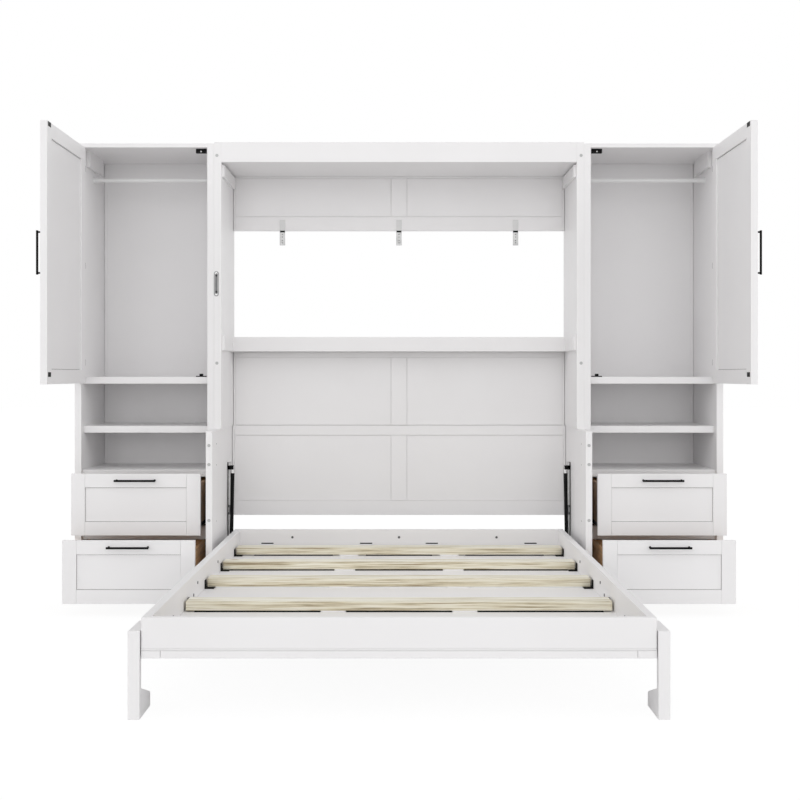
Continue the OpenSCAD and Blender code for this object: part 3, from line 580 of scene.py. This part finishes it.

# ---------------------------------------------------------------------------
# Brackets on the upper back panel: flat steel straps screwed on at its lower edge. The half on the
# panel is painted with it, the half below is bare, with small screw holes and a black line between.
# The holes are black discs and the line a black strip: painted shade in the holes and under the
# panel's lower edge.
# ---------------------------------------------------------------------------
strap_low, strap_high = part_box("panel_brackets")
strap_w = 0.028
strap_pitch = 0.599
panel_edge_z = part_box("upper_back_panel")[0].z
shadow_gap = 0.0075
bare_top_z = panel_edge_z - shadow_gap
bridge_lap = 0.001
bridge_sunk = 0.0008
bridge_ease = 0.0003
strap_hole_drops = (0.018, 0.032, 0.050, 0.062)
strap_hole_r = 0.0025
strap_hole_t = 0.0006
strap_hole_sink = 0.0003
straps = []
strap_holes = []
for place in (-strap_pitch, 0, strap_pitch):
    x0, x1 = place - strap_w / 2, place + strap_w / 2
    straps.append(board((x0, strap_low.y, panel_edge_z), (x1, strap_high.y, strap_high.z), fine_ease))
    straps.append(board((x0, strap_low.y, strap_low.z), (x1, strap_high.y, bare_top_z), fine_ease))
    straps.append(board((x0 + bridge_lap, strap_low.y + bridge_sunk, bare_top_z - bridge_lap),
                        (x1 - bridge_lap, strap_high.y, panel_edge_z + bridge_lap), bridge_ease))
    for drop in strap_hole_drops:
        strap_holes.append(turned_part((place, strap_low.y, panel_edge_z - drop), strap_hole_r, strap_hole_t,
                                       to_front, strap_hole_sink))
back_straps = joined("back_straps", straps)
strap_grey = lacquer("strap_grey", grey(0.72), grey(0.66), grain_up)
mid_zinc = plated("mid_plated", grey(0.47), 0.42, rolled_up)
finish_piece(back_straps, strap_grey, "steel", "cabinet", "panel_brackets")
back_straps.data.materials.append(mid_zinc)
back_straps.data.materials.append(black_coat)
# The bridging strip between the halves takes the black: painted shade under the panel's lower edge.
bridge_reach = 0.0011
for face in back_straps.data.polygons:
    above = face.center.z - panel_edge_z
    if above < -shadow_gap - bridge_reach:
        face.material_index = 1
    elif above < bridge_reach:
        face.material_index = 2
# Black discs: painted shade in the strap's screw holes.
finish_piece(joined("back_strap_holes", strap_holes), black_coat, "black_steel", "cabinet")

# ---------------------------------------------------------------------------
# Gas struts: a bright ground rod in a black painted cylinder, which is rolled in over its gland and
# its end plug. The beads of both rollings stand on the cylinder.
# ---------------------------------------------------------------------------
strut_lean = math.radians(7.0475)
strut_along = Vector((0, -math.sin(strut_lean), -math.cos(strut_lean)))
strut_x, strut_y, strut_z = 0.833, -0.190, 0.626
strut_r = 0.009
strut_length = 0.36677
ring_r = 0.0009
ring_sunk = 0.0002
rings_at = (0.0325, 0.0425, strut_length - 0.0285)
rod_ease = 0.0004
cylinder_ease = 0.0012
bright = plated("bright_rod", grey(0.78), 0.16, turned_round)
for side, sign in signed_sides:
    rod_node, cylinder_node = f"strut_rod_{side}", f"strut_cylinder_{side}"
    finish_piece(eased_copy(rod_node, rod_ease), bright, "steel", body_of[rod_node], rod_node)
    cylinder_parts = [eased_copy(cylinder_node, cylinder_ease)]
    strut_head = Vector((sign * strut_x, strut_y, strut_z))
    for distance in rings_at:
        bpy.ops.object.select_all(action="DESELECT")
        bpy.ops.mesh.primitive_torus_add(major_segments=40, minor_segments=10,
                                         major_radius=strut_r - ring_sunk, minor_radius=ring_r,
                                         location=strut_head + strut_along * distance,
                                         rotation=(-strut_lean, 0, 0))
        ring = bpy.context.active_object
        bpy.ops.object.transform_apply(location=True, rotation=True, scale=True)
        bpy.ops.object.shade_smooth()
        cylinder_parts.append(ring)
    finish_piece(joined(f"strut_cylinder_made_{side}", cylinder_parts), black_coat, "black_steel",
                 body_of[cylinder_node], cylinder_node)

# ---------------------------------------------------------------------------
# Strut hoods, channel shade strips and clips: a folded black sheet over each strut's upper eye, a
# black strip along the channel's edge, which is painted shade beside the board, and a dark plated
# clip snapped on below the channel's middle.
# ---------------------------------------------------------------------------
channel_front_y = -0.198
channel_x = 0.844
shade_strip_x = 0.8532
wall_x = 0.8578
hood_x = 0.8285
hood_y = -0.2045
hood_back_y = -0.172
hood_z = (0.6175, 0.637)
hood_face_t = 0.002
roof_z = (hood_z[1] - 0.0016, hood_z[1])
hood_lap = 0.0005
hood_ease = 0.0005
roof_ease = 0.0004
shade_strip_y = (channel_front_y - 0.0012, channel_front_y + 0.001)
shade_strip_z = (0.2862, 0.6538)
shade_strip_ease = 0.0004
clip_x = 0.8432
clip_spine_x = 0.8495
clip_y = (channel_front_y - 0.0015, channel_front_y + 0.008)
clip_spine_y = (channel_front_y - 0.0010, channel_front_y + 0.008)
clip_low_z = (0.392, 0.404)
clip_high_z = (0.428, 0.440)
clip_spine_z = (0.398, 0.434)
clip_ease = 0.0006
for side, sign in signed_sides:
    hood = [
        sided(sign, (hood_x, wall_x), (hood_y, hood_y + hood_face_t), hood_z, hood_ease),
        sided(sign, (hood_x, channel_x), (hood_y, hood_back_y), roof_z, roof_ease),
        sided(sign, (channel_x, wall_x), (hood_y, channel_front_y + hood_lap), hood_z, hood_ease),
    ]
    finish_piece(joined(f"strut_hood_{side}", hood), black_coat, "black_steel", "cabinet")
    # The black strip beside the board is painted shade, not a part of the strut.
    shade_strip = sided(sign, (shade_strip_x, wall_x), shade_strip_y, shade_strip_z, shade_strip_ease)
    finish_piece(joined(f"channel_painted_shade_{side}", [shade_strip]), black_coat, "black_steel", "cabinet")
    clip = [
        sided(sign, (clip_x, shade_strip_x), clip_y, clip_low_z, clip_ease),
        sided(sign, (clip_x, shade_strip_x), clip_y, clip_high_z, clip_ease),
        sided(sign, (clip_x, clip_spine_x), clip_spine_y, clip_spine_z, clip_ease),
    ]
    finish_piece(joined(f"channel_clip_{side}", clip), dark_zinc, "steel", "cabinet")

# ---------------------------------------------------------------------------
# Hanging rods: steel tubes coated white, one across each wardrobe. Their ends are pushed into round
# sockets, which are screwed to the wardrobe's walls.
# ---------------------------------------------------------------------------
rod_white = lacquer("rod_white", grey(0.82), grey(0.79), grain_across)
hanging_rod_ease = 0.0006
hanging_rods = eased_copy("hanging_rods", hanging_rod_ease)
finish_piece(hanging_rods, rod_white, "white_paint", "cabinet", "hanging_rods")

# ---------------------------------------------------------------------------
# Latch plate: a pressed steel keeper let into the left upright's edge. It has round ends with a
# bright screw in each, a dark groove between them, and a pin hole at each end of the groove.
# ---------------------------------------------------------------------------
keeper_ease = 0.0005
keeper_zinc = plated("keeper_plated", grey(0.32), 0.42, rolled_up)
finish_piece(eased_copy("latch_plate", keeper_ease), keeper_zinc, "steel", "cabinet", "latch_plate")

latch_low, latch_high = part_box("latch_plate")
latch_x = (latch_low.x + latch_high.x) / 2
latch_z = (latch_low.z + latch_high.z) / 2
groove_l = 0.078
groove_w = 0.008
groove_proud = 0.0003
groove_deep = 0.0030
groove_ease = 0.0003
groove = board((latch_x - groove_w / 2, latch_low.y - groove_proud, latch_z - groove_l / 2),
               (latch_x + groove_w / 2, latch_low.y + groove_deep, latch_z + groove_l / 2), groove_ease)
finish_piece(joined("latch_groove", [groove]), dark_zinc, "steel", "cabinet")

latch_disc_t = 0.0016
pin_hole_r = 0.0046
pin_hole_sink = 0.0005
# Black discs: painted shade in the pin holes.
pin_holes = [
    turned_part((latch_x, latch_low.y, latch_z + reach), pin_hole_r, latch_disc_t, to_front, pin_hole_sink)
    for reach in (-groove_l / 2, groove_l / 2)
]
finish_piece(joined("latch_pin_holes", pin_holes), black_coat, "black_steel", "cabinet")

screw_reach = 0.098 / 2
screw_y = latch_low.y + 0.0008
screw_r = 0.0052
screw_sink = 0.0006
screws = [
    turned_part((latch_x, screw_y, latch_z + reach), screw_r, latch_disc_t, to_front, screw_sink)
    for reach in (-screw_reach, screw_reach)
]
finish_piece(joined("latch_screws", screws), bright, "steel", "cabinet")

# ---------------------------------------------------------------------------
# Bed box: rails, head board and foot board of lacquered board, screwed to the base. The head board
# has four slots for the mattress straps.
# ---------------------------------------------------------------------------
rail_ease = 0.0015
end_board_ease = 0.0022
for node in ("bed_rail_left", "bed_rail_right"):
    finish_piece(eased_copy(node, rail_ease), deep_lacquer, "white_paint", "bed", node)
for node in ("head_board", "foot_board"):
    finish_piece(eased_copy(node, end_board_ease), level_lacquer, "white_paint", "bed", node)

# ---------------------------------------------------------------------------
# Bed bolts: the dark plated heads of the bolts that hold the bed box together, with a sunk drive.
# They sit on the inner faces of the head board and of both rails.
# ---------------------------------------------------------------------------
bolt_r = 0.006
bolt_t = 0.002
bolt_sink = 0.001
rail_inner_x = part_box("bed_rail_right")[0].x
head_board_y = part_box("head_board")[0].y
head_bolt_z = 0.2846
head_bolts_x = (-0.529, 0, 0.484)
rail_bolts_yz = ((-0.941, 0.277), (-1.441, 0.277), (-1.531, 0.245), (-1.930, 0.245))
bolts = [
    turned_part((x, head_board_y - bolt_t / 2, head_bolt_z), bolt_r, bolt_t, to_front, bolt_sink)
    for x in head_bolts_x
]
rail_bolt_x = rail_inner_x - bolt_t / 2
for sign in (-1, 1):
    for y, z in rail_bolts_yz:
        bolts.append(turned_part((sign * rail_bolt_x, y, z), bolt_r, bolt_t, (-sign, 0, 0), bolt_sink))
finish_piece(joined("bed_bolts", bolts), dark_zinc, "steel", "bed")

# ---------------------------------------------------------------------------
# Mattress straps: the ends of woven black webbing, drawn back into the head board's slots. The rest
# of each strap lies behind the board.
# ---------------------------------------------------------------------------
web_w = 0.060
web_t = 0.0048
web_ease = 0.001
web_front = head_board_y + 0.002
web_back = head_board_y + 0.023
slot_z = 0.254
web_low = slot_z - web_t / 2
web_high = slot_z + web_t / 2
slots_x = (-0.6536, -0.1634, 0.1634, 0.6536)
webs = [
    board((x - web_w / 2, web_front, web_low), (x + web_w / 2, web_back, web_high), web_ease)
    for x in slots_x
]
webbing = powder_coat("black_webbing", grey(0.010), 0.9)
finish_piece(joined("mattress_strap_ends", webs), webbing, "black_steel", "bed")

# ---------------------------------------------------------------------------
# Base: a thin sheet glued over a frame of stiles and rails with sunk fields. The frame is the bed's
# front when it is up, and its joints show along the foot end.
# ---------------------------------------------------------------------------
base_low, base_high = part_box("base_panel")
sheet_t = 0.005
border = 0.060
base_stile = 0.060
field_sunk = 0.005
field_count = 3
base_joint = 0.0012
glue_line = 0.0008
sheet_low = base_high.z - sheet_t
frame_top = sheet_low - glue_line
field_w = (base_high.x - base_low.x - 2 * border - (field_count - 1) * base_stile) / field_count
field_l = (base_high.y - base_low.y - 2 * border - (field_count - 1) * base_stile) / field_count
in_x0 = base_low.x + border
in_x1 = base_high.x - border
rail_x0 = in_x0 + base_joint
rail_x1 = in_x1 - base_joint
base_parts = [
    board((base_low.x, base_low.y, sheet_low), base_high, base_joint / 2),
    board(base_low, (in_x0, base_high.y, frame_top), base_joint),
    board((in_x1, base_low.y, base_low.z), (base_high.x, base_high.y, frame_top), base_joint),
]
for j in range(field_count + 1):
    rail_w = border if j in (0, field_count) else base_stile
    y0 = base_low.y if j == 0 else base_low.y + border + j * (field_l + base_stile) - base_stile
    base_parts.append(board((rail_x0, y0, base_low.z), (rail_x1, y0 + rail_w, frame_top), base_joint / 2))
for j in range(field_count):
    y0 = base_low.y + border + j * (field_l + base_stile)
    y1 = y0 + field_l
    for i in range(field_count):
        x0 = in_x0 + i * (field_w + base_stile)
        base_parts.append(board((x0, y0, base_low.z + field_sunk), (x0 + field_w, y1, frame_top), base_joint))
        if i:
            base_parts.append(board((x0 - base_stile, y0, base_low.z), (x0, y1, frame_top), base_joint))
finish_piece(joined("bed_base", base_parts), deep_lacquer, "white_paint", "bed", "base_panel")

# ---------------------------------------------------------------------------
# Slats: planed pine bars laid across the base on thin packers, their long edges rounded over. Pine
# is pale yellow with darker late wood along its length, and a few knots.
# ---------------------------------------------------------------------------


def pine(name, ring_scale, tones):
    """Pine: growth rings stretched along X in four tones, fine fibres, and a few round knots."""
    finish, nodes, links, shader, where = new_finish(name)
    rings = noise(nodes, links, where, scale=ring_scale, detail=5.0, rough=0.62)
    wood = ramp(nodes, links, rings, list(zip((0.34, 0.45, 0.56, 0.75), tones)))
    fibres = noise(nodes, links, where, scale=(6, 420, 420), detail=3.0, rough=0.6)
    fine = ramp(nodes, links, fibres, [(0.35, (0.80, 0.78, 0.72)), (0.6, grey(1.0))])
    fibrous = blend(nodes, links, wood, fine, share=0.8, how="MULTIPLY")
    stretch = nodes.new("ShaderNodeMapping")
    stretch.inputs["Scale"].default_value = (1.0, 2.6, 2.6)
    links.new(where, stretch.inputs["Vector"])
    cells = nodes.new("ShaderNodeTexVoronoi")
    cells.inputs["Scale"].default_value = 2.3
    links.new(stretch.outputs["Vector"], cells.inputs["Vector"])
    knot_stops = [(0.0, (0.34, 0.22, 0.12)), (0.035, (0.52, 0.38, 0.24)), (0.06, grey(1.0))]
    knots = ramp(nodes, links, cells.outputs["Distance"], knot_stops)
    links.new(blend(nodes, links, fibrous, knots, share=0.85, how="MULTIPLY"), shader.inputs["Base Color"])
    roughen(nodes, links, shader, rings, 0.55, 0.70)
    bumps(nodes, links, shader, fibres, strength=0.3, distance=0.0005)
    return finish


edge_tones = ((0.33, 0.26, 0.16), (0.69, 0.62, 0.46), (0.85, 0.81, 0.68), (0.88, 0.85, 0.75))
face_tones = ((0.56, 0.49, 0.35), (0.83, 0.79, 0.66), (0.91, 0.89, 0.80), (0.95, 0.93, 0.86))
pine_edge = pine("pine_edge", (3.4, 150, 150), edge_tones)
pine_face = pine("pine_face", (2.2, 55, 55), face_tones)
slat_ease = 0.0008
facing_up_or_down = 0.8
slats = eased_copy("slats", slat_ease)
finish_piece(slats, pine_edge, "pine", "bed", "slats")
slats.data.materials.append(pine_face)
for face in slats.data.polygons:
    if abs(face.normal.z) > facing_up_or_down:
        face.material_index = 1

# ---------------------------------------------------------------------------
# Slat fittings: black steel angles screwed to the rails, on whose feet the slats' ends rest, and
# white lacquered packers between the slats and the base.
# ---------------------------------------------------------------------------
slat_fitting_ease = 0.0004
fittings = eased_copy("slat_fittings", slat_fitting_ease)
finish_piece(fittings, black_coat, "steel", "bed", "slat_fittings")
fittings.data.materials.append(level_lacquer)
packer_reach = 0.30
for face in fittings.data.polygons:
    if abs(face.center.x) < packer_reach:
        face.material_index = 1

# ---------------------------------------------------------------------------
# Slat strips: black strips under the slats, painted shade for the gap between each slat and the
# base. They stand out a little in front of their slats. Under one slat a pale strip that ends flush
# is painted light, which takes the shade out of that gap.
# ---------------------------------------------------------------------------
gap_strip_z = (0.222, 0.222 + 0.0046)
gap_strip_ease = 0.0008
gap_strip_proud = 0.003
pale_inset = 0.0004
slat_w = 0.080
first_runs = ((-0.695, -0.319), (-0.159, 0.159), (0.319, 0.695))
other_runs = ((-0.749, -0.288), (-0.194, 0.194), (0.288, 0.749))
black_slats = ((-0.427, first_runs), (-0.84225, other_runs), (-1.73475, other_runs), (-2.150, other_runs))
pale_slat_y = -1.2575


def gap_strips(runs, y0, y1):
    """A row of strips under one slat, one to each run along X."""
    return [board((x0, y0, gap_strip_z[0]), (x1, y1, gap_strip_z[1]), gap_strip_ease) for x0, x1 in runs]


# Black strips: painted shade in the gaps under the slats.
gap_shade_strips = []
for slat_y, runs in black_slats:
    gap_shade_strips += gap_strips(runs, slat_y - gap_strip_proud, slat_y + slat_w)
black_painted_gap_shade = powder_coat("black_painted_gap_shade", grey(0.004), 0.85)
finish_piece(joined("slat_gap_painted_shade", gap_shade_strips), black_painted_gap_shade, "black_steel", "bed")
# A pale strip: painted light, so the gap under this slat shows no shade.
gap_light_strips = gap_strips(other_runs, pale_slat_y + pale_inset, pale_slat_y + slat_w - pale_inset)
pale_painted_gap_light = lacquer("pale_painted_gap_light", grey(0.84), grey(0.80), (60, 60, 60))
finish_piece(joined("slat_gap_painted_light", gap_light_strips), pale_painted_gap_light, "white_paint", "bed")

# ---------------------------------------------------------------------------
# Legs: hook-shaped, cut from thick board and lacquered, with well rounded edges for the hand. Each
# turns on a pin through its head.
# ---------------------------------------------------------------------------
leg_ease = 0.003
for side in sides:
    leg = eased_copy(f"leg_{side}", leg_ease, segments=3)
    finish_piece(leg, upright_lacquer, "white_paint", f"leg_{side}", f"leg_{side}")

# ---------------------------------------------------------------------------
# Desk: a lacquered board with well rounded edges, screwed to its steel arms. It hangs level under
# the platform.
# ---------------------------------------------------------------------------
desk_ease = 0.004
desk = eased_copy("desk_board", desk_ease, segments=4)
finish_piece(desk, level_lacquer, "white_paint", "desk", "desk_board")

# ---------------------------------------------------------------------------
# Studio: a pale floor that glows to the camera, an even white sky, six soft lamps round the front,
# and the camera where the photograph was taken from, 5.49 m in front of the cabinet and 1.09 m up.
# ---------------------------------------------------------------------------
floor_size = 60
floor_z = -0.0005
bpy.ops.object.select_all(action="DESELECT")
bpy.ops.mesh.primitive_plane_add(size=floor_size, location=(0, 0, floor_z))
studio_floor = bpy.context.active_object
studio_floor.name = "studio_floor"

floor_paint = bpy.data.materials.new("studio_floor_white")
floor_paint.use_nodes = True
floor_nodes = floor_paint.node_tree.nodes
floor_links = floor_paint.node_tree.links
floor_shader = floor_nodes["Principled BSDF"]
floor_shader.inputs["Base Color"].default_value = (*grey(0.86), 1)
floor_shader.inputs["Roughness"].default_value = 0.9
floor_glow = floor_nodes.new("ShaderNodeEmission")
floor_glow.inputs["Strength"].default_value = 1.04
glow_share = floor_nodes.new("ShaderNodeMath")
glow_share.operation = "MULTIPLY"
glow_share.inputs[1].default_value = 0.90
floor_path = floor_nodes.new("ShaderNodeLightPath")
floor_mix = floor_nodes.new("ShaderNodeMixShader")
floor_links.new(floor_path.outputs["Is Camera Ray"], glow_share.inputs[0])
floor_links.new(glow_share.outputs[0], floor_mix.inputs["Fac"])
floor_links.new(floor_shader.outputs[0], floor_mix.inputs[1])
floor_links.new(floor_glow.outputs[0], floor_mix.inputs[2])
floor_links.new(floor_mix.outputs[0], floor_nodes["Material Output"].inputs["Surface"])
studio_floor.data.materials.append(floor_paint)

world = bpy.data.worlds.new("studio_sky")
bpy.context.scene.world = world
world.use_nodes = True
sky_nodes = world.node_tree.nodes
sky_links = world.node_tree.links
sky = sky_nodes["Background"]
sky.inputs["Color"].default_value = (1, 1, 1, 1)
sky_path = sky_nodes.new("ShaderNodeLightPath")
seen = sky_nodes.new("ShaderNodeMath")
seen.operation = "MAXIMUM"
sky_links.new(sky_path.outputs["Is Camera Ray"], seen.inputs[0])
sky_links.new(sky_path.outputs["Is Glossy Ray"], seen.inputs[1])
sky_level = sky_nodes.new("ShaderNodeMapRange")
sky_level.inputs["To Min"].default_value = 0.62
sky_level.inputs["To Max"].default_value = 1.0
sky_links.new(seen.outputs[0], sky_level.inputs["Value"])
sky_links.new(sky_level.outputs["Result"], sky.inputs["Strength"])

# Name, height and bearing in degrees, strength, and softness in degrees of each lamp
studio_lamps = (
    ("front", 6, 0, 0.38, 30),
    ("high", 78, 0, 0.27, 40),
    ("left", 35, -30, 0.14, 50),
    ("right", 35, 30, 0.14, 50),
    ("side_left", 20, -66, 0.50, 40),
    ("side_right", 20, 66, 0.50, 40),
)
lamps_at = (0, -6, 4)
for name, elevation, azimuth, energy, softness in studio_lamps:
    turn = (math.radians(90 - elevation), 0, math.radians(azimuth))
    bpy.ops.object.light_add(type="SUN", location=lamps_at, rotation=turn)
    lamp = bpy.context.active_object
    lamp.name = "studio_lamp_" + name
    lamp.data.energy = energy
    lamp.data.angle = math.radians(softness)

camera_distance = 5.491
camera_height = 1.090
cabinet_front = -0.440
camera_at = (0, cabinet_front - camera_distance, camera_height)
level_view = (math.radians(90), 0, 0)
bpy.ops.object.camera_add(location=camera_at, rotation=level_view)
camera = bpy.context.active_object
camera.data.sensor_width = 36
camera.data.lens = 51.57
camera.data.shift_x = 0.00125
camera.data.shift_y = -0.03125
bpy.context.scene.camera = camera
bpy.context.scene.view_settings.view_transform = "Standard"
